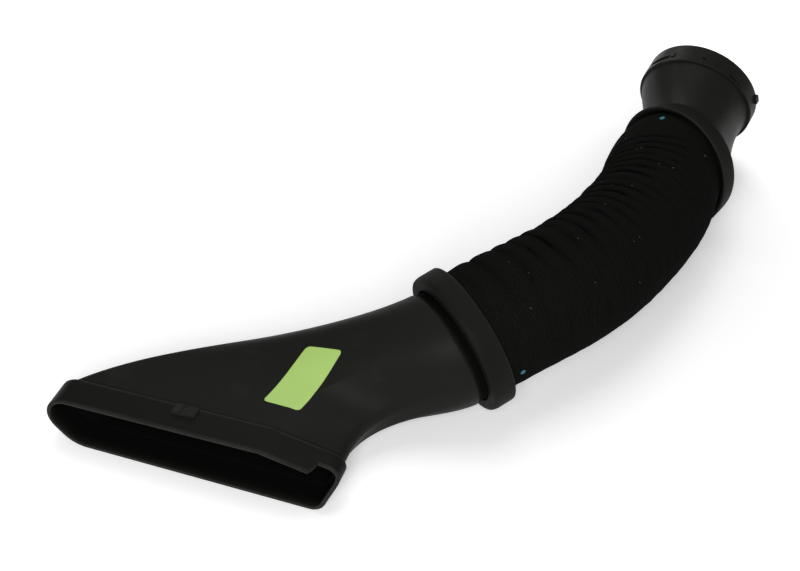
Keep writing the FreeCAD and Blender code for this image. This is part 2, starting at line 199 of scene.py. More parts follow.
class MarkSizes(bpy.types.PropertyGroup):
    label_length: length("Label length", "Length of the bare label, seen from above", 0.0362)
    label_width: length("Label width", "Width of the bare label, seen from above", 0.0212)
    label_corner: length("Label corner", "Rounding of the label's corners", 0.0022)
    dot_radius: length("Dot radius", "Radius of an inspection dot", 0.0016)
    lint_count: IntProperty(name="Lint", description="Number of fibres in the fabric", default=24, min=0)


class FinishColours(bpy.types.PropertyGroup):
    scoop: colour("Scoop", "Black plastic of the scoop", (0.0118, 0.0120, 0.0108))
    collar: colour("Collars", "Black plastic of the collars", (0.0098, 0.0099, 0.0090))
    connector: colour("Connector", "Black plastic of the connector", (0.0125, 0.0126, 0.0114))
    fabric: colour("Fabric", "Black knit of the hose", (0.0050, 0.0053, 0.0047))
    label: colour("Label", "Pale green paper of the label", (0.35, 0.535, 0.132))
    dot: colour("Dots", "Blue inspection paint", (0.010, 0.16, 0.24))
    lint: colour("Lint", "Pale fibres", (0.12, 0.124, 0.112))
    floor: colour("Floor", "Pale studio floor", (0.90, 0.90, 0.90))


class AirIntakeSettings(bpy.types.PropertyGroup):
    scoop: PointerProperty(type=IntakeScoopSizes)
    collars: PointerProperty(type=CollarSizes)
    hose: PointerProperty(type=RibbedHoseSizes)
    connector: PointerProperty(type=ConnectorSizes)
    marks: PointerProperty(type=MarkSizes)
    finish: PointerProperty(type=FinishColours)


def direction(heading, rise):
    """Unit vector heading degrees round from +X and rise degrees above the floor."""
    turn, climb = math.radians(heading), math.radians(rise)
    return np.array((math.cos(climb) * math.cos(turn), math.cos(climb) * math.sin(turn), math.sin(climb)))


FRONT_AXIS = direction(FRONT_HEADING, FRONT_RISE)
REAR_AXIS = direction(REAR_HEADING, REAR_RISE)
BELL_AXIS = direction(BELL_HEADING, BELL_RISE)


def datum(sizes):
    """Middle of the mouth's bottom edge, in the CAD frame."""
    return np.array((SCOOP_LOW.x + sizes.scoop.mouth_left, SCOOP_LOW.y, SCOOP_LOW.z))


def unit(vector):
    """Vector of length one in the same direction."""
    return vector / np.linalg.norm(vector)


def across(axis):
    """The level and the upright unit vectors square to an axis."""
    right = unit(np.cross(axis, UP))
    return right, np.cross(right, axis)


def spokes(axis, angles):
    """Unit vectors square to an axis, at angles in radians from level right by way of up."""
    right, up = across(axis)
    return np.outer(np.cos(angles), right) + np.outer(np.sin(angles), up)


def smooth_step(value, low, high):
    """0 up to low, 1 from high, and a soft rise between them."""
    share = np.clip((value - low) / (high - low), 0.0, 1.0)
    return share * share * (3.0 - 2.0 * share)


def cubic(place, leave, arrive, target, share):
    """Points at a share of the way along cubic curves from place to target."""
    rest = 1.0 - share
    return (place * rest ** 3 + leave * (3 * rest * rest * share)
            + arrive * (3 * rest * share * share) + target * share ** 3)


def collar_centre(sizes, place, rise, wall):
    """Middle of a collar's band, at the height that rests the band on the floor."""
    climb = math.radians(rise)
    height = (sizes.collars.bore + wall) * math.cos(climb) + sizes.collars.band / 2 * math.sin(abs(climb))
    return datum(sizes) + np.array((place[0], place[1], height))


def front_centre(sizes):
    return collar_centre(sizes, FRONT_PLACE, FRONT_RISE, sizes.collars.front_wall)


def rear_centre(sizes):
    return collar_centre(sizes, REAR_PLACE, REAR_RISE, sizes.collars.rear_wall)


def neck_stop(sizes):
    """Distance from the middle of a collar's band to the end face of the neck in it."""
    return sizes.collars.band / 2 + SHOULDER_LENGTH - GROOVE_DEPTH + FIT


def shell(name, rows, shade=None, painted_highlight=None, u_steps=None, v_steps=None):
    """Closed surface through loops of points, the last joined to the first, with its marks and its map."""
    rows = np.asarray(rows)
    row_count, count = rows.shape[:2]
    faces = []
    for r in range(row_count):
        low, high = r * count, (r + 1) % row_count * count
        for i in range(count):
            j = (i + 1) % count
            faces.append((low + i, low + j, high + j, high + i))
    mesh = bpy.data.meshes.new(name)
    mesh.from_pydata(rows.reshape(-1, 3).tolist(), [], faces)
    # The first mark is painted shade and the second a painted highlight on rounded edges
    for mark, values in (("Shade", shade), ("EdgeHighlight", painted_highlight)):
        if values is not None:
            values = np.broadcast_to(np.reshape(values, (row_count, -1)), (row_count, count))
            mark_points(mesh, mark, values.ravel())
    if u_steps is not None:
        layer = mesh.uv_layers.new(name="Weave")
        corners = np.empty((row_count, count, 4, 2))
        ends = np.append(v_steps, v_steps[-1])
        for corner, (du, dv) in enumerate(((0, 0), (1, 0), (1, 1), (0, 1))):
            corners[:, :, corner, 0] = u_steps[du:du + count]
            corners[:, :, corner, 1] = ends[dv:dv + row_count, None]
        layer.data.foreach_set("uv", corners.ravel())
    return place_mesh(name, mesh)


def place_mesh(name, mesh, sharp=38.0):
    """Object for a mesh, with its faces turned outward and its rounded edges shaded smooth."""
    work = bmesh.new()
    work.from_mesh(mesh)
    bmesh.ops.recalc_face_normals(work, faces=work.faces)
    work.to_mesh(mesh)
    work.free()
    mesh.polygons.foreach_set("use_smooth", [True] * len(mesh.polygons))
    mesh.set_sharp_from_angle(angle=math.radians(sharp))
    piece = bpy.data.objects.new(name, mesh)
    bpy.context.scene.collection.objects.link(piece)
    return piece


def place_work(name, work):
    """Object for a mesh that was put together in memory."""
    mesh = bpy.data.meshes.new(name)
    work.to_mesh(mesh)
    work.free()
    return place_mesh(name, mesh)


def mark_points(mesh, name, values):
    """Writes a value at each point of a mesh, for its material to read."""
    mesh.attributes.new(name, "FLOAT", "POINT").data.foreach_set("value", values)


def finish_piece(piece, material, slot, *nodes):
    """Gives a piece its material and its body, and hides the CAD nodes that it stands for; its slot is not
    used.
    """
    piece.data.materials.clear()
    piece.data.materials.append(material)
    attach(piece, "root")
    if nodes:
        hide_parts(*nodes)
    return piece


def rounded(profile, radius, steps=5):
    """Closed (distance, radius) profile with each corner rounded as far as its sides allow."""
    points = [np.array(point) for point in profile]
    out = []
    for i, corner in enumerate(points):
        before, after = points[i - 1] - corner, points[(i + 1) % len(points)] - corner
        lengths = np.linalg.norm(before), np.linalg.norm(after)
        reach = min(radius, 0.45 * lengths[0], 0.45 * lengths[1])
        start, end = corner + before / lengths[0] * reach, corner + after / lengths[1] * reach
        for step in range(steps + 1):
            share = step / steps
            out.append((1 - share) ** 2 * start + 2 * share * (1 - share) * corner + share ** 2 * end)
    return out


def lathe(name, profile, centre, axis, count, painted_highlight):
    """Closed ring turned from a closed (distance, radius) profile, with a painted highlight at some of its
    points.
    """
    around = spokes(axis, np.linspace(0, 2 * math.pi, count, endpoint=False))
    return shell(name, [centre + axis * along + around * radius for along, radius in profile], painted_highlight=painted_highlight)


def mouth_corners(scoop, inset):
    """Corner discs of the mouth, anticlockwise from the lower left, as (across, height, radius)."""
    left, right, top = -scoop.mouth_left, scoop.mouth_right, scoop.mouth_height
    return [
        (left + KEEL_FROM_LEFT, KEEL_RADIUS, KEEL_RADIUS - inset),
        (right - TOE_FROM_RIGHT, TOE_RADIUS, TOE_RADIUS - inset),
        (right - END_RADIUS, top - END_DROP - END_RADIUS, END_RADIUS - inset),
        (right - CREST_FROM_RIGHT, top - CREST_RADIUS, CREST_RADIUS - inset),
        (left + TIP_RADIUS, top - TIP_DROP - TIP_RADIUS, TIP_RADIUS - inset),
    ]


def tangent_angle(first, second):
    """Angle of the outward normal of the line that touches two discs on the way round."""
    run, rise = second[0] - first[0], second[1] - first[1]
    return math.atan2(rise, run) - math.acos((first[2] - second[2]) / math.hypot(run, rise))


def mouth_loop(scoop, inset, arc_steps=12, line_step=0.0014):
    """Points round the mouth, moved in by inset, in even steps on each corner and on each line."""
    corners = mouth_corners(scoop, inset)
    following = corners[1:] + corners[:1]
    angles = [tangent_angle(first, second) for first, second in zip(corners, following)]
    points = []
    for i, (corner, second) in enumerate(zip(corners, following)):
        turn = (angles[i] - angles[i - 1]) % (2 * math.pi)
        rays = angles[i - 1] + turn * np.arange(arc_steps) / arc_steps
        points.extend((corner[0] + corner[2] * math.cos(ray), corner[1] + corner[2] * math.sin(ray))
                      for ray in rays)
        normal = np.array((math.cos(angles[i]), math.sin(angles[i])))
        start = np.array(corner[:2]) + normal * corner[2]
        end = np.array(second[:2]) + normal * second[2]
        count = math.ceil(np.linalg.norm(end - start) / line_step)
        points.extend(start + (end - start) * step / count for step in range(count))
    return np.array(points)


def relief_setback(scoop):
    """How far the lip is set back at each point of the mouth: the upper right corner is cut away."""
    outline = mouth_loop(scoop, 0.0)
    start = scoop.mouth_right - RELIEF_WIDTH
    rake = np.clip((outline[:, 1] - RELIEF_LOW) / (RELIEF_HIGH - RELIEF_LOW), 0.0, 1.0)
    return RELIEF_DEPTH * rake * smooth_step(outline[:, 0], start - 0.0004, start + 0.0012)


def neck_ring(sizes, shares):
    """Middle of the neck's end face, and the spokes that the mouth's points walk to round it."""
    middle = front_centre(sizes) - FRONT_AXIS * neck_stop(sizes)
    return middle, spokes(FRONT_AXIS, math.radians(WALK_START) + 2 * math.pi * shares)


def scoop_walls(sizes, inset, start, shares):
    """Function that gives the loop of the scoop's wall at a share of the way from mouth to neck."""
    scoop = sizes.scoop
    outline = mouth_loop(scoop, scoop.rim_step + inset)
    place = np.column_stack((outline[:, 0], np.full(len(outline), start), outline[:, 1])) + datum(sizes)
    neck_end, turn = neck_ring(sizes, shares)
    target = neck_end + turn * (NECK_RADIUS - inset)
    lengths = np.linalg.norm(target - place, axis=1)
    side = (outline[:, 0] + scoop.mouth_left) / (scoop.mouth_left + scoop.mouth_right)
    heading = np.radians(LEFT_WALL_HEADING + (RIGHT_WALL_HEADING - LEFT_WALL_HEADING) * side)
    pull = lengths * (LEFT_MOUTH_PULL + (RIGHT_MOUTH_PULL - LEFT_MOUTH_PULL) * side ** 3) / 3
    ahead = np.column_stack((np.cos(heading), np.sin(heading), np.zeros(len(heading))))
    leave = place + ahead * pull[:, None]
    push = lengths * (LEFT_NECK_PULL + (RIGHT_NECK_PULL - LEFT_NECK_PULL) * side ** 3) / 3
    arrive = target - FRONT_AXIS * push[:, None]
    return lambda share: cubic(place, leave, arrive, target, share)


def quarter(steps=5):
    """Angles from 0 to a right angle, for a rounded edge."""
    return np.linspace(0.0, math.pi / 2, steps)


def scoop_rows(sizes):
    """Loops of the scoop, up its outside from the lip and down its inside, with their painted shade, darker
    rim and painted edge highlights.
    """
    scoop = sizes.scoop
    base = mouth_loop(scoop, scoop.rim_step)
    steps = np.linalg.norm(np.roll(base, -1, axis=0) - base, axis=1)
    shares = np.concatenate(((0.0,), np.cumsum(steps)[:-1])) / steps.sum()
    setback = relief_setback(scoop)
    fillet = scoop.lip_round
    bends = [(fillet * math.cos(a), fillet * math.sin(a)) for a in quarter()]

    def mouth_row(inset, along):
        outline = mouth_loop(scoop, inset)
        depth = np.broadcast_to(along, len(outline))
        return np.column_stack((outline[:, 0], depth, outline[:, 1])) + datum(sizes)

    rows = [mouth_row(fillet - rise, setback + fillet - run) for run, rise in bends]
    # Painted highlight on the outer rounding of the lip
    painted_highlight = [LIP_HIGHLIGHT] * len(rows)
    for share in np.linspace(0.0, 1.0, RIM_ROWS)[1:-1]:
        rows.append(mouth_row(0.0, setback + fillet + (scoop.rim_depth - setback - 2 * fillet) * share))
        painted_highlight.append(0.0)
    rows += [mouth_row(fillet - run, scoop.rim_depth - fillet + rise) for run, rise in bends]
    # Painted highlight on the rounded rear edge of the rim
    painted_highlight += [1.0] * (len(rows) - len(painted_highlight))
    rows += [mouth_row(scoop.rim_step - fillet + rise, scoop.rim_depth + fillet - run) for run, rise in bends]
    outer = scoop_walls(sizes, 0.0, scoop.rim_depth, shares)
    neck_end, turn = neck_ring(sizes, shares)
    even = np.ones(len(base))
    # The rim band is drawn darker than the body
    shade = [even * RIM_DARKENING] * len(rows)
    for share in np.concatenate((np.linspace(0.02, 0.9, BODY_ROWS), np.linspace(0.905, 1.0, NECK_ROWS))):
        row = outer(share)
        # Painted shade in the cove where the neck meets the front collar
        cove = smooth_step((row - neck_end) @ FRONT_AXIS, COVE_START, COVE_END)
        rows.append(row - turn * (COVE_DEPTH * cove)[:, None])
        shade.append(cove)
    spigot_end = front_centre(sizes) + FRONT_AXIS * (sizes.collars.band / 2 - SPIGOT_SETBACK)
    spigot_bore = SPIGOT_RADIUS - scoop.wall
    rows += [neck_end + turn * SPIGOT_RADIUS, spigot_end + turn * SPIGOT_RADIUS,
             spigot_end + turn * spigot_bore, neck_end + turn * spigot_bore]
    inside_start = scoop.rim_depth - scoop.wall
    inner = scoop_walls(sizes, scoop.wall, inside_start, shares)
    rows += [inner(share) for share in np.linspace(1.0, 0.0, INNER_ROWS)]
    # Painted shade over the scoop's inside, fading out toward the lip
    shade += [even * INSIDE_SHADE] * (len(rows) - len(shade))
    for share in np.linspace(1.0, 0.0, LIP_ROWS):
        shade.append(even * INSIDE_SHADE * min(1.0, share * 4))
        rows.append(mouth_row(scoop.wall, setback + fillet + (inside_start - setback - fillet) * share))
    rows += [mouth_row(scoop.wall - fillet + run, setback + fillet - rise) for run, rise in bends[1:]]
    shade += [even * 0.0] * (len(rows) - len(shade))
    # Painted highlight on the last rows of the lip's inner rounding
    painted_highlight += [0.0] * (len(rows) - 2 - len(painted_highlight)) + [LIP_HIGHLIGHT] * 2
    return rows, shade, painted_highlight


def clip_tab(sizes):
    """Bevelled block on the straight top of the rim, close to its rear edge, with a slot across it and a
    painted highlight over all of it.
    """
    scoop = sizes.scoop
    corners = mouth_corners(scoop, 0.0)
    crest, tip = corners[3], corners[4]
    normal = tangent_angle(crest, tip)
    start = np.array(crest[:2]) + crest[2] * np.array((math.cos(normal), math.sin(normal)))
    end = np.array(tip[:2]) + tip[2] * np.array((math.cos(normal), math.sin(normal)))
    slope = (end[1] - start[1]) / (end[0] - start[0])
    half, foot, slot = TAB_WIDTH / 2, -scoop.wall / 2, TAB_HEIGHT - TAB_SLOT_DEPTH
    section = ((-half, foot), (half, foot), (half, TAB_HEIGHT),
               (TAB_SLOT_END, TAB_HEIGHT), (TAB_SLOT_END, slot),
               (TAB_SLOT_START, slot), (TAB_SLOT_START, TAB_HEIGHT), (-half, TAB_HEIGHT))
    back = scoop.rim_depth - TAB_SETBACK
    block = bmesh.new()
    ends = []
    for along in (back - TAB_LENGTH, back):
        ends.append([])
        for x, z in section:
            place = TAB_ACROSS + x
            top = start[1] + slope * (place - start[0])
            ends[-1].append(block.verts.new(datum(sizes) + np.array((place, along, top + z))))
        block.faces.new(ends[-1])
    for i in range(len(section)):
        block.faces.new((ends[0][i - 1], ends[0][i], ends[1][i], ends[1][i - 1]))
    bmesh.ops.bevel(block, geom=block.edges[:], offset=TAB_BEVEL, segments=3, affect="EDGES")
    tab = place_work("scoop_clip_tab", block)
    # Painted highlight over the whole tab
    mark_points(tab.data, "EdgeHighlight", [TAB_HIGHLIGHT] * len(tab.data.vertices))
    return tab


def collar_profile(collars, wall, taper, share, mouth):
    """Closed (distance, radius) section of a collar whose shoulder points along its axis."""
    half, bore = collars.band / 2, collars.bore
    radius, end = bore + wall, half + SHOULDER_LENGTH
    shoulder = radius - taper - (wall - taper) * share
    stop = end - GROOVE_DEPTH
    seat = stop - FLANGE_THICKNESS
    return [
        (-half, bore + wall * LIP_SHARE), (-half, radius), (half, radius - taper), (end, shoulder),
        (end, mouth), (stop, mouth), (stop, SPIGOT_RADIUS + FIT), (seat, SPIGOT_RADIUS + FIT),
        (seat, bore), (LIP_DEPTH - half, bore),
    ]


def hose_line(sizes):
    """Places and distances along the hose's middle line, between the open faces of the collars."""
    half = sizes.collars.band / 2
    start = front_centre(sizes) + FRONT_AXIS * half
    end = rear_centre(sizes) - REAR_AXIS * half
    chord = end - start
    side = across(unit(chord))[0]
    bowed = [start + chord * share + side * away + UP * lift for share, away, lift in BOWS]
    knots = np.array([start, *bowed, end])
    spans = np.linalg.norm(np.diff(knots, axis=0), axis=1)
    count = len(knots)
    system, target = np.zeros((count, count)), np.zeros((count, 3))
    system[0, 0] = system[-1, -1] = 1.0
    target[0], target[-1] = FRONT_AXIS, REAR_AXIS
    for i in range(1, count - 1):
        before, after = spans[i - 1], spans[i]
        system[i, i - 1:i + 2] = after, 2 * (before + after), before
        target[i] = 3 * (after / before * (knots[i] - knots[i - 1])
                         + before / after * (knots[i + 1] - knots[i]))
    slopes = np.linalg.solve(system, target)
    points = []
    for i, span in enumerate(spans):
        share = np.linspace(0.0, 1.0, 200, endpoint=i == count - 2)[:, None]
        square, cube = share ** 2, share ** 3
        points.append(knots[i] * (2 * cube - 3 * square + 1) + knots[i + 1] * (3 * square - 2 * cube)
                      + slopes[i] * span * (cube - 2 * square + share)
                      + slopes[i + 1] * span * (cube - square))
    points = np.vstack(points)
    walked = np.concatenate(((0.0,), np.cumsum(np.linalg.norm(np.diff(points, axis=0), axis=1))))
    return points, walked


def wrapped_noise(distance, angles, wide, close):
    """Noise round the hose at a distance, for each angle, without a seam."""
    return np.array([noise.noise(Vector((math.cos(a) * wide, math.sin(a) * wide, distance * close)))
                     for a in angles])


class HoseSurface:
    """Outside of the ribbed hose, as a place for each distance along it and angle round it."""

    def __init__(self, sizes):
        self.hose = sizes.hose
        self.points, self.walked = hose_line(sizes)
        self.length = self.walked[-1]
        self.rib_end = self.length - self.hose.rear_cuff
        share = (self.walked - self.hose.front_cuff) / (self.rib_end - self.hose.front_cuff)
        pitch = self.hose.rib_pitch * (1.0 + RIB_CROWDING * (1.0 - 2.0 * smooth_step(share, 0.0, 1.0)))
        turns = np.concatenate(((0.0,), np.cumsum(np.diff(self.walked) / pitch[1:])))
        turns = turns - np.interp(self.hose.front_cuff, self.walked, turns)
        last = np.interp(self.rib_end, self.walked, turns)
        self.turns = turns * round(last) / last

    def middle(self, distance):
        """Point of the middle line at a distance, or its nearer end."""
        return np.array([np.interp(distance, self.walked, way) for way in self.points.T])

    def centre(self, distance, step=0.0006):
        """Middle of the hose and its heading at a distance, straight on past both ends."""
        inside = min(max(distance, 0.0), self.length)
        axis = unit(self.middle(inside + step) - self.middle(inside - step))
        return self.middle(inside) + axis * (distance - inside), axis

    def ribs(self, distance, angles):
        """Height of the ribs, 0 in a crease and 1 on a crest, and how strong they are, for each angle."""
        wander, slow = wrapped_noise(distance, angles, 1.3, 45.0), wrapped_noise(distance, angles, 2.2, 90.0)
        turns = np.interp(distance, self.walked, self.turns) + RIB_WANDER * wander
        ridge = np.abs(np.sin(math.pi * turns)) ** CREST_POWER
        gathered = smooth_step(np.cos(angles - GATHERED_SIDE), -0.15, 0.75)
        inside = smooth_step(distance, 0.0, self.hose.front_cuff * 1.4)
        growth = smooth_step(distance, 0.0, self.length * 0.5)
        inside = inside * (FRONT_STRENGTH + (1.0 - FRONT_STRENGTH) * growth)
        inside = inside * (1.0 - smooth_step(distance, self.rib_end - 0.002, self.rib_end + 0.006))
        strength = inside * (PLAIN_STRENGTH + GATHERED_STRENGTH * gathered)
        return ridge, strength * np.clip(0.85 + 1.1 * slow, 0.15, 1.3)

    def radius(self, distance, angles):
        """Radius at a distance, for each angle: ribs that deepen where gathered, and a swollen cuff."""
        hose = self.hose
        ridge, strength = self.ribs(distance, angles)
        crumple = wrapped_noise(distance, angles, 6.0, 170.0)
        crease = hose.rib_sink * (1.0 - ridge) * CREASE_DEPTH
        radius = hose.radius + strength * (hose.rib_rise * ridge - crease)
        radius = radius + min(1.0, max(0.0, distance / hose.front_cuff)) * crumple * CRUMPLE
        swell = smooth_step(distance, self.rib_end - 0.004, self.length - 0.006)
        swell = swell * (1.0 - smooth_step(distance, self.length - 0.0022, self.length + 0.0008))
        return radius + hose.cuff_bulge * swell * smooth_step(-np.cos(angles - 0.5), -0.75, 0.9)

    def shade(self, distance, angles):
        """How dark a crease lies at a distance, for each angle."""
        ridge, strength = self.ribs(distance, angles)
        return np.clip(strength * (1.0 - ridge) * CREASE_DARKNESS, 0.0, 1.0)

    def loop(self, distance, angles):
        """Ring of points on the fabric at a distance, for each angle."""
        place, axis = self.centre(distance)
        return place + spokes(axis, angles) * self.radius(distance, angles)[:, None]

    def point(self, distance, angle, lift, step=0.0008):
        """Place and outward normal a little above the fabric."""
        here = self.loop(distance, np.array((angle, angle + step / self.hose.radius)))
        ahead = self.loop(distance + step, np.array((angle,)))[0]
        normal = unit(np.cross(ahead - here[0], here[1] - here[0]))
        outward = here[0] - self.centre(distance)[0]
        if normal @ outward < 0:
            normal = -normal
        return here[0] + normal * lift, normal


def hose_rows(surface, lead, count):
    """Loops of the hose, along its outside and back along its plain inside, with painted crease shade and
    distances.
    """
    angles = np.linspace(0, 2 * math.pi, count, endpoint=False)
    tucked = np.array((0.0015, 0.004, lead))
    distances = np.concatenate((-tucked[::-1], np.arange(0.0, surface.length, HOSE_ROW),
                                (surface.length,), surface.length + tucked))
    rows = [surface.loop(distance, angles) for distance in distances]
    shade = [surface.shade(distance, angles) for distance in distances]
    inner = np.linspace(surface.length + lead, -lead, 30)
    for distance in inner:
        place, axis = surface.centre(distance)
        rows.append(place + spokes(axis, angles) * (surface.hose.radius - surface.hose.wall))
        shade.append(np.zeros(count))
    return rows, shade, np.concatenate((distances, inner))


def band_rise(angles, along):
    """Height of the latch details above the band, at a distance from the rim, for each angle."""
    degrees = np.degrees(angles) % 360.0
    rise = np.zeros(len(angles))
    for start, sweep, front, reach, height in BAND_MARKS:
        if front <= -along <= front + reach:
            rise[(degrees - start) % 360.0 <= sweep] = height
    return rise


def band_angles(count):
    """Angles round the connector, with a close pair at each side of a latch detail."""
    sides = [start + turn for start, sweep, *_ in BAND_MARKS for turn in (0.0, sweep)]
    degrees = list(np.linspace(0.0, 360.0, count, endpoint=False))
    degrees = [d for d in degrees if min(abs((d - s + 180.0) % 360.0 - 180.0) for s in sides) > 0.5]
    for side in sides:
        degrees += [side - 0.12, side + 0.12]
    return np.radians(np.sort(np.array(degrees) % 360.0))


def connector_rows(sizes, count):
    """Loops of the connector: along its outside from the neck to the rim, and back along its inside."""
    connector = sizes.connector
    angles = band_angles(count)
    near, far = spokes(REAR_AXIS, angles), spokes(BELL_AXIS, angles)
    start = rear_centre(sizes) + REAR_AXIS * neck_stop(sizes)
    rim = datum(sizes) + np.array(BELL_PLACE)
    bore_depth = connector.band - connector.wall
    end = rim - BELL_AXIS * (bore_depth - FLARE_OVERLAP) - across(BELL_AXIS)[0] * FLARE_OFFSET
    bell_radius = connector.bore_radius + connector.bell_wall
    fillet = connector.rim_round
    band = connector.band + BAND_SLANT * np.cos(angles - math.radians(SLANT_ANGLE))[:, None]
    stretch = band / connector.band

    def flare(share, inset):
        place = start + near * (NECK_RADIUS - inset)
        target = end + far * (bell_radius - connector.band_step - FLARE_OFFSET + FLARE_FULLNESS - inset)
        leave = place + (REAR_AXIS * ELBOW_PULL - near * WAIST_DIP) / 3
        arrive = target - (BELL_AXIS * FLARE_PULL + far * FLARE_SPREAD) / 3
        return cubic(place, leave, arrive, target, share)

    def reach(inset, depth):
        """Share of each strand that lies before the plane at a depth from the rim."""
        low, high = np.zeros((len(angles), 1)), np.ones((len(angles), 1))
        for _ in range(40):
            middle = (low + high) / 2
            before = ((flare(middle, inset) - rim) @ BELL_AXIS)[:, None] < -depth
            low, high = np.where(before, middle, low), np.where(before, high, middle)
        return low

    outside = reach(0.0, band)
    rows = [flare(share * outside, 0.0) for share in np.linspace(0.0, 1.0, 40)]
    for a in quarter(4):
        run, rise = BAND_EDGE * math.cos(a), BAND_EDGE * math.sin(a)
        rows.append(rim - BELL_AXIS * (band - BAND_EDGE + run) + far * (bell_radius - BAND_EDGE + rise))
    edges = {round(front + turn, 6) for _, _, front, span, _ in BAND_MARKS for turn in (0.0, span)} - {0.0}
    alongs = [a for a in np.linspace(-connector.band + 2 * BAND_EDGE, -2 * fillet, 9)
              if min(abs(a + e) for e in edges) > 0.0002]
    for place in edges:
        alongs += [-place - 0.00006, -place + 0.00006]
    for along in sorted(alongs):
        radius = bell_radius + band_rise(angles, along)
        rows.append(rim + BELL_AXIS * along * stretch + far * radius[:, None])
    lug = band_rise(angles, -fillet)
    for a in quarter():
        rows.append(rim - BELL_AXIS * (fillet - fillet * math.sin(a))
                    + far * (bell_radius + lug - fillet + fillet * math.cos(a))[:, None])
    for a in quarter():
        rows.append(rim - BELL_AXIS * (fillet - fillet * math.cos(a))
                    + far * (connector.bore_radius + fillet - fillet * math.sin(a)))
    rows.append(rim - BELL_AXIS * bore_depth + far * connector.bore_radius)
    inside = reach(connector.wall, bore_depth)
    rows += [flare(share * inside, connector.wall) for share in np.linspace(1.0, 0.0, 30)]
    inner = SPIGOT_RADIUS - connector.wall
    spigot_end = rear_centre(sizes) - REAR_AXIS * (sizes.collars.band / 2 - SPIGOT_SETBACK)
    rows += [start + near * inner, spigot_end + near * inner, spigot_end + near * SPIGOT_RADIUS,
             start + near * SPIGOT_RADIUS]
    return rows


def patch(name, outline, rings, drop, thickness):
    """Thin plate whose outline, in its own plane, is laid on a surface by drop(point, lift)."""
    work = bmesh.new()
    layers = []
    for lift in (thickness, -thickness):
        loops = []
        for ring in range(rings):
            scale = 1.0 - ring / rings
            loops.append([work.verts.new(drop(point * scale, lift)) for point in outline])
        middle = work.verts.new(drop(outline[0] * 0.0, lift))
        layers.append(loops)
        for outside, inside in zip(loops, loops[1:]):
            for i in range(len(outline)):
                j = (i + 1) % len(outline)
                work.faces.new((outside[i], outside[j], inside[j], inside[i]))
        for i in range(len(outline)):
            work.faces.new((loops[-1][i], loops[-1][(i + 1) % len(outline)], middle))
    top, bottom = layers[0][0], layers[1][0]
    for i in range(len(outline)):
        j = (i + 1) % len(outline)
        work.faces.new((top[i], top[j], bottom[j], bottom[i]))
    return place_work(name, work)


def rounded_plate(width, height, corner, steps=6, line_step=0.0012):
    """Outline of a plate with rounded corners, about its own middle."""
    reach = np.array((width / 2 - corner, height / 2 - corner))
    middles = [reach * signs for signs in ((1, 1), (-1, 1), (-1, -1), (1, -1))]
    points = []
    for turn, middle in enumerate(middles):
        for step in range(steps + 1):
            angle = math.pi / 2 * (turn + step / steps)
            points.append(middle + corner * np.array((math.cos(angle), math.sin(angle))))
        last, run = points[-1], middles[(turn + 1) % 4] - middle
        count = max(2, round(np.linalg.norm(run) / line_step))
        points.extend(last + run * step / count for step in range(1, count))
    return points


def lint(sizes, surface):
    """Short pale fibres caught in the hose's fabric."""
    chance = np.random.default_rng(7)
    work = bmesh.new()
    for _ in range(sizes.marks.lint_count):
        distance = chance.uniform(0.02, surface.length - 0.02)
        angle = chance.uniform(0.3, math.pi - 0.3)
        reach = chance.uniform(0.0003, 0.0008)
        lean = chance.uniform(0, 2 * math.pi)
        place, normal = surface.point(distance, angle, 0.0001)
        first_way, second_way = unit(np.cross(normal, UP + 0.01)), unit(np.cross(normal, REAR_AXIS))
        along = first_way * math.cos(lean) + second_way * math.sin(lean)
        along = unit(along - normal * (along @ normal))
        side = np.cross(normal, along) * FIBRE_WIDTH
        loops = []
        for share in np.linspace(-1.0, 1.0, 5):
            width = side * (1.0 - 0.7 * share * share)
            spot = place + along * reach * share + normal * FIBRE_ARCH * (1 - share * share)
            trio = spot - width, spot + normal * FIBRE_CROWN, spot + width
            loops.append([work.verts.new(point) for point in trio])
        for first, second in zip(loops, loops[1:]):
            for i in range(3):
                j = (i + 1) % 3
                work.faces.new((first[i], first[j], second[j], second[i]))
        work.faces.new(loops[0])
        work.faces.new(loops[-1])
    return place_work("hose_lint", work)


def node_group(name, inputs, outputs):
    """Shader node group with named sockets, and its input and output nodes."""
    group = bpy.data.node_groups.new(name, "ShaderNodeTree")
    for socket, kind, default in inputs:
        made = group.interface.new_socket(name=socket, in_out="INPUT", socket_type=kind)
        if default is not None:
            made.default_value = default
    for socket, kind in outputs:
        group.interface.new_socket(name=socket, in_out="OUTPUT", socket_type=kind)
    return group, group.nodes.new("NodeGroupInput"), group.nodes.new("NodeGroupOutput")


def add_noise(tree, vector, scale, detail, roughness=0.5):
    node = tree.nodes.new("ShaderNodeTexNoise")
    node.inputs["Detail"].default_value = detail
    node.inputs["Roughness"].default_value = roughness
    tree.links.new(vector, node.inputs["Vector"])
    if isinstance(scale, float):
        node.inputs["Scale"].default_value = scale
    else:
        tree.links.new(scale, node.inputs["Scale"])
    return node.outputs["Fac"]


def add_math(tree, operation, first, second=None):
    node = tree.nodes.new("ShaderNodeMath")
    node.operation = operation
    for socket, value in zip(node.inputs, (first, second)):
        if value is None:
            continue
        if isinstance(value, (int, float)):
            socket.default_value = value
        else:
            tree.links.new(value, socket)
    return node.outputs[0]


def add_range(tree, value, low, high, to_low, to_high):
    node = tree.nodes.new("ShaderNodeMapRange")
    node.interpolation_type = "SMOOTHSTEP"
    tree.links.new(value, node.inputs["Value"])
    for name, number in (("From Min", low), ("From Max", high), ("To Min", to_low), ("To Max", to_high)):
        node.inputs[name].default_value = number
    return node.outputs["Result"]


def moulded_grain_group():
    """Fine spark-eroded grain of a mould, with slow changes of sheen."""
    group, source, sink = node_group("Moulded grain", [("Grain Scale", "NodeSocketFloat", 2600.0)],
                                     [("Height", "NodeSocketFloat"), ("Sheen", "NodeSocketFloat")])
    place = group.nodes.new("ShaderNodeTexCoord").outputs["Object"]
    fine = add_noise(group, place, source.outputs["Grain Scale"], 2.0)
    slow = add_noise(group, place, 26.0, 4.0, 0.6)
    group.links.new(fine, sink.inputs["Height"])
    group.links.new(slow, sink.inputs["Sheen"])
    return group


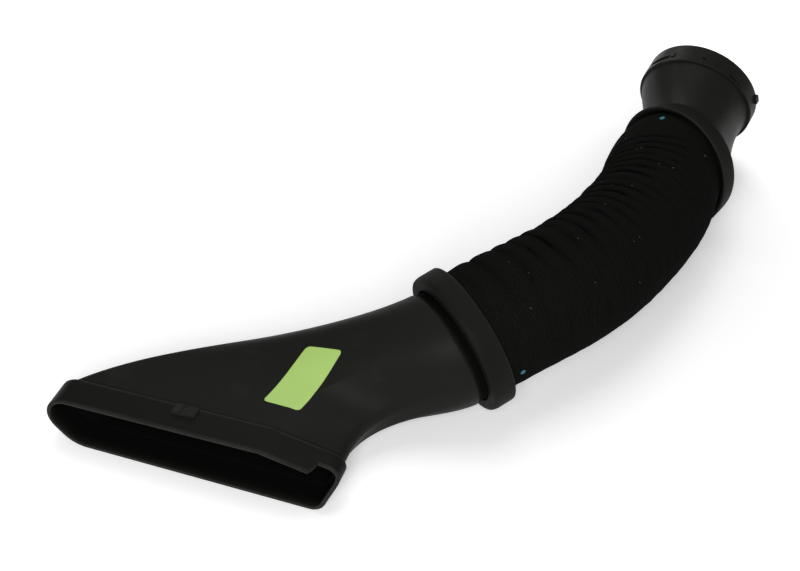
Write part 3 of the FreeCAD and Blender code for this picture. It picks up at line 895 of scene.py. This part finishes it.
def handling_marks_group():
    """Sparse rubbed patches and fine dust left by handling."""
    group, source, sink = node_group("Handling marks", [("Amount", "NodeSocketFloat", 0.5)],
                                     [("Rubbed", "NodeSocketFloat"), ("Dust", "NodeSocketFloat")])
    place = group.nodes.new("ShaderNodeTexCoord").outputs["Object"]
    broad = add_range(group, add_noise(group, place, 34.0, 5.0, 0.65), 0.54, 0.78, 0.0, 1.0)
    specks = add_range(group, add_noise(group, place, 900.0, 1.0), 0.70, 0.80, 0.0, 1.0)
    group.links.new(add_math(group, "MULTIPLY", broad, source.outputs["Amount"]), sink.inputs["Rubbed"])
    dust = add_math(group, "MULTIPLY", add_math(group, "MULTIPLY", specks, broad), source.outputs["Amount"])
    group.links.new(dust, sink.inputs["Dust"])
    return group


def knit_group():
    """Stitches of a knit: columns of leaning loops and drifting courses, from a map in metres."""
    inputs = [("Map", "NodeSocketVector", None), ("Stitch", "NodeSocketFloat", 0.0011)]
    outputs = [("Height", "NodeSocketFloat"), ("Fuzz", "NodeSocketFloat")]
    group, source, sink = node_group("Knit", inputs, outputs)
    split = group.nodes.new("ShaderNodeSeparateXYZ")
    group.links.new(source.outputs["Map"], split.inputs[0])
    across_turns = add_math(group, "DIVIDE", split.outputs[0], source.outputs["Stitch"])
    along_turns = add_math(group, "DIVIDE", split.outputs[1], source.outputs["Stitch"])
    column = add_math(group, "SINE", add_math(group, "MULTIPLY", across_turns, math.pi))
    column = add_math(group, "ABSOLUTE", column)
    row = add_math(group, "ADD", along_turns, add_math(group, "MULTIPLY", column, 0.8))
    row = add_math(group, "SINE", add_math(group, "MULTIPLY", row, 2 * math.pi))
    drift = add_math(group, "MULTIPLY", add_noise(group, source.outputs["Map"], 130.0, 2.0), 9.0)
    course = add_math(group, "ADD", add_math(group, "MULTIPLY", along_turns, 2.6), drift)
    course = add_math(group, "SINE", course)
    height = add_math(group, "MULTIPLY", column, 0.6)
    for wave, share in ((row, 0.4), (course, 0.7)):
        height = add_math(group, "ADD", height, add_math(group, "MULTIPLY", wave, share))
    fuzz = add_noise(group, source.outputs["Map"], 1400.0, 3.0)
    group.links.new(height, sink.inputs["Height"])
    group.links.new(fuzz, sink.inputs["Fuzz"])
    return group


def shared_group(name, build):
    """The shader node group of that name, built the first time."""
    return bpy.data.node_groups.get(name) or build()


def start_material(name):
    material = bpy.data.materials.new(name)
    material.use_nodes = True
    tree = material.node_tree
    return material, tree, tree.nodes["Principled BSDF"]


def place_group(tree, group, **values):
    node = tree.nodes.new("ShaderNodeGroup")
    node.node_tree = group
    for name, value in values.items():
        node.inputs[name.replace("_", " ")].default_value = value
    return node


def mix_colour(tree, share, first, second):
    """Mix of two colours, each of them written out or coming from a socket."""
    node = tree.nodes.new("ShaderNodeMix")
    node.data_type = "RGBA"
    tree.links.new(share, node.inputs["Factor"])
    for name, value in (("A", first), ("B", second)):
        if isinstance(value, tuple):
            node.inputs[name].default_value = (*value, 1.0)
        else:
            tree.links.new(value, node.inputs[name])
    return node.outputs["Result"]


def add_mark(tree, name):
    """Value that a mesh marks at its points, or 0 where it has no such mark."""
    mark = tree.nodes.new("ShaderNodeAttribute")
    mark.attribute_name = name
    return mark.outputs["Fac"]


def add_bump(tree, height, strength, distance):
    node = tree.nodes.new("ShaderNodeBump")
    node.inputs["Strength"].default_value = strength
    node.inputs["Distance"].default_value = distance
    tree.links.new(height, node.inputs["Height"])
    return node.outputs["Normal"]


def moulded_plastic(name, base, gloss, specular, grain, marks):
    """Black moulded plastic: grained, a little rubbed and dusty, with painted highlights and painted shade
    where a mesh marks them.
    """
    material, tree, shader = start_material(name)
    texture = place_group(tree, shared_group("Moulded grain", moulded_grain_group), Grain_Scale=grain)
    handled = place_group(tree, shared_group("Handling marks", handling_marks_group), Amount=marks)
    rubbed = tuple(min(1.0, value * 2.2 + 0.004) for value in base)
    tone = mix_colour(tree, handled.outputs["Rubbed"], base, rubbed)
    dust = add_math(tree, "MULTIPLY", handled.outputs["Dust"], 0.25)
    tone = mix_colour(tree, dust, tone, (0.10, 0.10, 0.095))
    patchy = add_range(tree, texture.outputs["Sheen"], 0.3, 0.6, 0.35, 1.0)
    # Painted highlight on marked edges, patchy with the grain's sheen
    edge_glint = add_math(tree, "MULTIPLY", add_mark(tree, "EdgeHighlight"), patchy)
    tone = mix_colour(tree, edge_glint, tone, tuple(value * 2.2 + 0.008 for value in base))
    # Painted shade where a mesh marks it, and rougher there
    shade = add_mark(tree, "Shade")
    tone = mix_colour(tree, shade, tone, tuple(value * 0.2 for value in base))
    tree.links.new(tone, shader.inputs["Base Color"])
    rough = add_range(tree, texture.outputs["Sheen"], 0.3, 0.7, gloss - 0.05, gloss + 0.06)
    tree.links.new(add_math(tree, "MAXIMUM", rough, shade), shader.inputs["Roughness"])
    tree.links.new(add_bump(tree, texture.outputs["Height"], 0.22, 0.00012), shader.inputs["Normal"])
    shader.inputs["Specular IOR Level"].default_value = specular
    return material


def knit_fabric(base):
    """Black knit of the hose: matt, with stitches and fuzz, and painted shade in its creases."""
    material, tree, shader = start_material("hose_knit")
    chart = tree.nodes.new("ShaderNodeUVMap")
    chart.uv_map = "Weave"
    knit = place_group(tree, shared_group("Knit", knit_group))
    tree.links.new(chart.outputs["UV"], knit.inputs["Map"])
    pale = tuple(value * 2.4 + 0.001 for value in base)
    tone = mix_colour(tree, add_range(tree, knit.outputs["Fuzz"], 0.45, 0.75, 0.0, 1.0), base, pale)
    # Painted shade in the creases
    tone = mix_colour(tree, add_mark(tree, "Shade"), tone, tuple(value * 0.15 for value in base))
    tree.links.new(tone, shader.inputs["Base Color"])
    fuzz = add_math(tree, "MULTIPLY", knit.outputs["Fuzz"], 0.8)
    height = add_math(tree, "ADD", knit.outputs["Height"], fuzz)
    tree.links.new(add_bump(tree, height, 0.55, 0.00025), shader.inputs["Normal"])
    shader.inputs["Roughness"].default_value = 0.95
    shader.inputs["Specular IOR Level"].default_value = 0.01
    return material


def label_paper(base):
    """Coated label paper with a faint tone across it."""
    material, tree, shader = start_material("label_paper")
    place = tree.nodes.new("ShaderNodeTexCoord").outputs["Object"]
    paler = tuple(min(1.0, value * 1.06) for value in base)
    tone = mix_colour(tree, add_noise(tree, place, 60.0, 3.0), base, paler)
    tree.links.new(tone, shader.inputs["Base Color"])
    fibres = add_noise(tree, place, 1500.0, 2.0)
    tree.links.new(add_bump(tree, fibres, 0.08, 0.0001), shader.inputs["Normal"])
    shader.inputs["Roughness"].default_value = 0.55
    return material


def paint_dab(name, base):
    """Small matt dab of paint or fibre with an uneven tone."""
    material, tree, shader = start_material(name)
    place = tree.nodes.new("ShaderNodeTexCoord").outputs["Object"]
    tone = mix_colour(tree, add_noise(tree, place, 700.0, 2.0), tuple(value * 0.7 for value in base), base)
    tree.links.new(tone, shader.inputs["Base Color"])
    shader.inputs["Roughness"].default_value = 0.6
    return material


def add_floor(sizes):
    """Wide pale floor that keeps the object's shadow, with a painted glow that is weak near the object and
    makes it read white further out.
    """
    mesh = bpy.data.meshes.new("studio_floor")
    corners = [(x * FLOOR_REACH, y * FLOOR_REACH, 0.0) for x, y in ((-1, -1), (1, -1), (1, 1), (-1, 1))]
    mesh.from_pydata(corners, [], [(0, 1, 2, 3)])
    floor = bpy.data.objects.new("studio_floor", mesh)
    floor.location.z = -FLOOR_DROP
    bpy.context.scene.collection.objects.link(floor)
    material = bpy.data.materials.new("studio_floor")
    material.use_nodes = True
    tree = material.node_tree
    tree.nodes.clear()
    out = tree.nodes.new("ShaderNodeOutputMaterial")
    diffuse = tree.nodes.new("ShaderNodeBsdfDiffuse")
    diffuse.inputs["Color"].default_value = (*sizes.finish.floor, 1.0)
    glow = tree.nodes.new("ShaderNodeEmission")
    rays = tree.nodes.new("ShaderNodeLightPath")
    # Painted glow for camera, glossy and transmission rays, weak near the object and strong further out
    seen = add_math(tree, "MAXIMUM", rays.outputs["Is Camera Ray"], rays.outputs["Is Glossy Ray"])
    seen = add_math(tree, "MAXIMUM", seen, rays.outputs["Is Transmission Ray"])
    away = tree.nodes.new("ShaderNodeVectorMath")
    away.operation = "LENGTH"
    tree.links.new(tree.nodes.new("ShaderNodeTexCoord").outputs["Object"], away.inputs[0])
    fill = add_range(tree, away.outputs["Value"], FILL_START, FILL_END, NEAR_FILL, FAR_FILL)
    tree.links.new(add_math(tree, "MULTIPLY", seen, fill), glow.inputs["Strength"])
    both = tree.nodes.new("ShaderNodeAddShader")
    tree.links.new(diffuse.outputs[0], both.inputs[0])
    tree.links.new(glow.outputs[0], both.inputs[1])
    tree.links.new(both.outputs[0], out.inputs["Surface"])
    mesh.materials.append(material)


def add_lights():
    """Soft boxes: one by the camera, one overhead, and one at each side."""
    for name, place, aim, size, watts in SOFT_BOXES:
        lamp = bpy.data.lights.new(name, "AREA")
        lamp.size = size
        lamp.energy = watts
        holder = bpy.data.objects.new(name, lamp)
        holder.location = place
        holder.rotation_euler = (Vector(aim) - Vector(place)).to_track_quat("-Z", "Y").to_euler()
        bpy.context.scene.collection.objects.link(holder)


def settings(context):
    return context.scene.air_intake


class AIRINTAKE_OT_scoop(bpy.types.Operator):
    """Builds the moulded scoop, with its rim, relief, neck, spigot and clip tab"""

    bl_idname = "air_intake.scoop"
    bl_label = "Intake scoop"

    def execute(self, context):
        sizes = settings(context)
        plastic = moulded_plastic("scoop_plastic", tuple(sizes.finish.scoop),
                                  gloss=0.46, specular=0.04, grain=2600.0, marks=0.28)
        finish_piece(shell("scoop_shell", *scoop_rows(sizes)), plastic, "moulded_plastic", "intake_scoop")
        finish_piece(clip_tab(sizes), plastic, "moulded_plastic")
        return {"FINISHED"}


class AIRINTAKE_OT_collars(bpy.types.Operator):
    """Builds the two collars that hold the hose"""

    bl_idname = "air_intake.collars"
    bl_label = "Collars"

    def execute(self, context):
        sizes = settings(context)
        collars = sizes.collars
        plastic = moulded_plastic("collar_plastic", tuple(sizes.finish.collar),
                                  gloss=0.55, specular=0.03, grain=3000.0, marks=0.3)
        front = (collars.front_wall, 0.0, FRONT_SHOULDER, NECK_RADIUS - COVE_DEPTH + NECK_GROOVE)
        rear = (collars.rear_wall, collars.rear_taper, REAR_SHOULDER, NECK_RADIUS + NECK_GROOVE)
        for node, centre, axis, shape in (("front_collar", front_centre(sizes), -FRONT_AXIS, front),
                                          ("rear_collar", rear_centre(sizes), REAR_AXIS, rear)):
            section = rounded(collar_profile(collars, *shape), collars.edge_round)
            # Painted highlight along the outer edge of the band on the hose side
            edge = np.array((-collars.band / 2, collars.bore + shape[0]))
            painted_highlight = [max(0.0, 1.0 - np.linalg.norm(point - edge) / COLLAR_HIGHLIGHT_REACH) for point in section]
            ring = lathe(node + "_ring", section, centre, axis, COLLAR_STEPS, painted_highlight)
            finish_piece(ring, plastic, "collar_plastic", node)
        return {"FINISHED"}


class AIRINTAKE_OT_hose(bpy.types.Operator):
    """Builds the ribbed fabric hose"""

    bl_idname = "air_intake.hose"
    bl_label = "Ribbed hose"

    def execute(self, context):
        sizes = settings(context)
        lead = sizes.collars.band / 2 + neck_stop(sizes) - FLANGE_THICKNESS - 2 * FIT
        rows, shade, distances = hose_rows(HoseSurface(sizes), lead, HOSE_STEPS)
        turn = np.linspace(0.0, 2 * math.pi * sizes.hose.radius, HOSE_STEPS + 1)
        hose = shell("hose_fabric", rows, shade, u_steps=turn, v_steps=distances)
        finish_piece(hose, knit_fabric(tuple(sizes.finish.fabric)), "hose_fabric", "hose")
        return {"FINISHED"}


class AIRINTAKE_OT_connector(bpy.types.Operator):
    """Builds the flared connector, with its band, latch slots and bumps"""

    bl_idname = "air_intake.connector"
    bl_label = "Flared connector"

    def execute(self, context):
        sizes = settings(context)
        plastic = moulded_plastic("connector_plastic", tuple(sizes.finish.connector),
                                  gloss=0.42, specular=0.048, grain=2600.0, marks=0.4)
        connector = shell("connector_shell", connector_rows(sizes, CONNECTOR_STEPS))
        finish_piece(connector, plastic, "connector_plastic", "connector")
        return {"FINISHED"}


class AIRINTAKE_OT_marks(bpy.types.Operator):
    """Lays the bare label on the scoop, and the paint dots and lint on the hose"""

    bl_idname = "air_intake.marks"
    bl_label = "Label, dots and lint"

    def execute(self, context):
        sizes = settings(context)
        marks = sizes.marks
        scoop = bpy.data.objects.get("scoop_shell")
        if scoop is None:
            raise RuntimeError("build the scoop before its label")
        context.view_layer.update()
        tree = BVHTree.FromObject(scoop, context.evaluated_depsgraph_get())
        middle = datum(sizes) + np.array((*LABEL_PLACE, DROP_HEIGHT))
        long_way = direction(LABEL_LONG_HEADING, 0.0)
        short_way = direction(LABEL_SHORT_HEADING, 0.0)

        def on_scoop(point, lift):
            above = middle + long_way * point[0] + short_way * point[1]
            hit, normal, _, _ = tree.ray_cast(Vector(above), Vector((0.0, 0.0, -1.0)))
            if hit is None:
                raise RuntimeError("the label reaches past the scoop")
            return hit + normal * lift

        outline = rounded_plate(marks.label_length, marks.label_width, marks.label_corner)
        label = patch("scoop_label", outline, LABEL_RINGS, on_scoop, LABEL_LIFT)
        finish_piece(label, label_paper(tuple(sizes.finish.label)), "moulded_plastic")
        surface = HoseSurface(sizes)
        paint = paint_dab("inspection_paint", tuple(sizes.finish.dot))
        disc = [np.array((math.cos(a), math.sin(a))) * marks.dot_radius
                for a in np.linspace(0, 2 * math.pi, 24, endpoint=False)]
        for name, distance, angle in (("front_dot", FRONT_DOT_GAP, FRONT_DOT_ANGLE),
                                      ("rear_dot", surface.length - REAR_DOT_GAP, REAR_DOT_ANGLE)):

            def on_hose(point, lift, distance=distance, angle=math.radians(angle)):
                turn = angle + point[1] / sizes.hose.radius
                return Vector(surface.point(distance + point[0], turn, lift)[0])

            finish_piece(patch(name, disc, DOT_RINGS, on_hose, DOT_LIFT), paint, "hose_fabric")
        fibre = paint_dab("pale_lint", tuple(sizes.finish.lint))
        finish_piece(lint(sizes, surface), fibre, "hose_fabric")
        return {"FINISHED"}


class AIRINTAKE_OT_stage(bpy.types.Operator):
    """Sets the pale floor, the soft light and the camera of the photograph"""

    bl_idname = "air_intake.stage"
    bl_label = "Studio"

    def execute(self, context):
        sizes = settings(context)
        scene = context.scene
        scene.view_settings.view_transform = "Standard"
        add_floor(sizes)
        add_lights()
        world = bpy.data.worlds.new("studio_world")
        world.use_nodes = True
        background = world.node_tree.nodes["Background"]
        background.inputs["Color"].default_value = (1.0, 1.0, 1.0, 1.0)
        background.inputs["Strength"].default_value = WORLD_STRENGTH
        scene.world = world
        camera = bpy.data.objects.new("photo_camera", bpy.data.cameras.new("photo_camera"))
        camera.data.lens = CAMERA_LENS
        camera.data.sensor_width = 36.0
        camera.data.sensor_fit = "HORIZONTAL"
        camera.data.clip_start = 0.01
        camera.location = datum(sizes) + np.array(CAMERA_PLACE)
        camera.rotation_euler = Vector(CAMERA_AIM).to_track_quat("-Z", "Y").to_euler()
        scene.collection.objects.link(camera)
        scene.camera = camera
        return {"FINISHED"}


class AIRINTAKE_PT_sidebar(bpy.types.Panel):
    """Lists the steps that build the air intake hose"""

    bl_idname = "AIRINTAKE_PT_sidebar"
    bl_label = "Air intake hose"
    bl_space_type = "VIEW_3D"
    bl_region_type = "UI"
    bl_category = "Air Intake"

    def draw(self, context):
        for operator in OPERATORS:
            self.layout.operator(operator.bl_idname)
        sizes = settings(context)
        for group in (sizes.scoop, sizes.collars, sizes.hose, sizes.connector, sizes.marks, sizes.finish):
            box = self.layout.box()
            for name in group.__annotations__:
                box.prop(group, name)


GROUPS = (IntakeScoopSizes, CollarSizes, RibbedHoseSizes, ConnectorSizes, MarkSizes, FinishColours,
          AirIntakeSettings)
OPERATORS = (AIRINTAKE_OT_scoop, AIRINTAKE_OT_collars, AIRINTAKE_OT_hose, AIRINTAKE_OT_connector,
             AIRINTAKE_OT_marks, AIRINTAKE_OT_stage)
CLASSES = GROUPS + OPERATORS + (AIRINTAKE_PT_sidebar,)


def register():
    for cls in CLASSES:
        bpy.utils.register_class(cls)
    bpy.types.Scene.air_intake = PointerProperty(type=AirIntakeSettings)


def unregister():
    del bpy.types.Scene.air_intake
    for cls in reversed(CLASSES):
        bpy.utils.unregister_class(cls)


def main():
    register()
    bpy.ops.air_intake.scoop()
    bpy.ops.air_intake.collars()
    bpy.ops.air_intake.hose()
    bpy.ops.air_intake.connector()
    bpy.ops.air_intake.marks()
    bpy.ops.air_intake.stage()


if __name__ == "__main__":
    main()
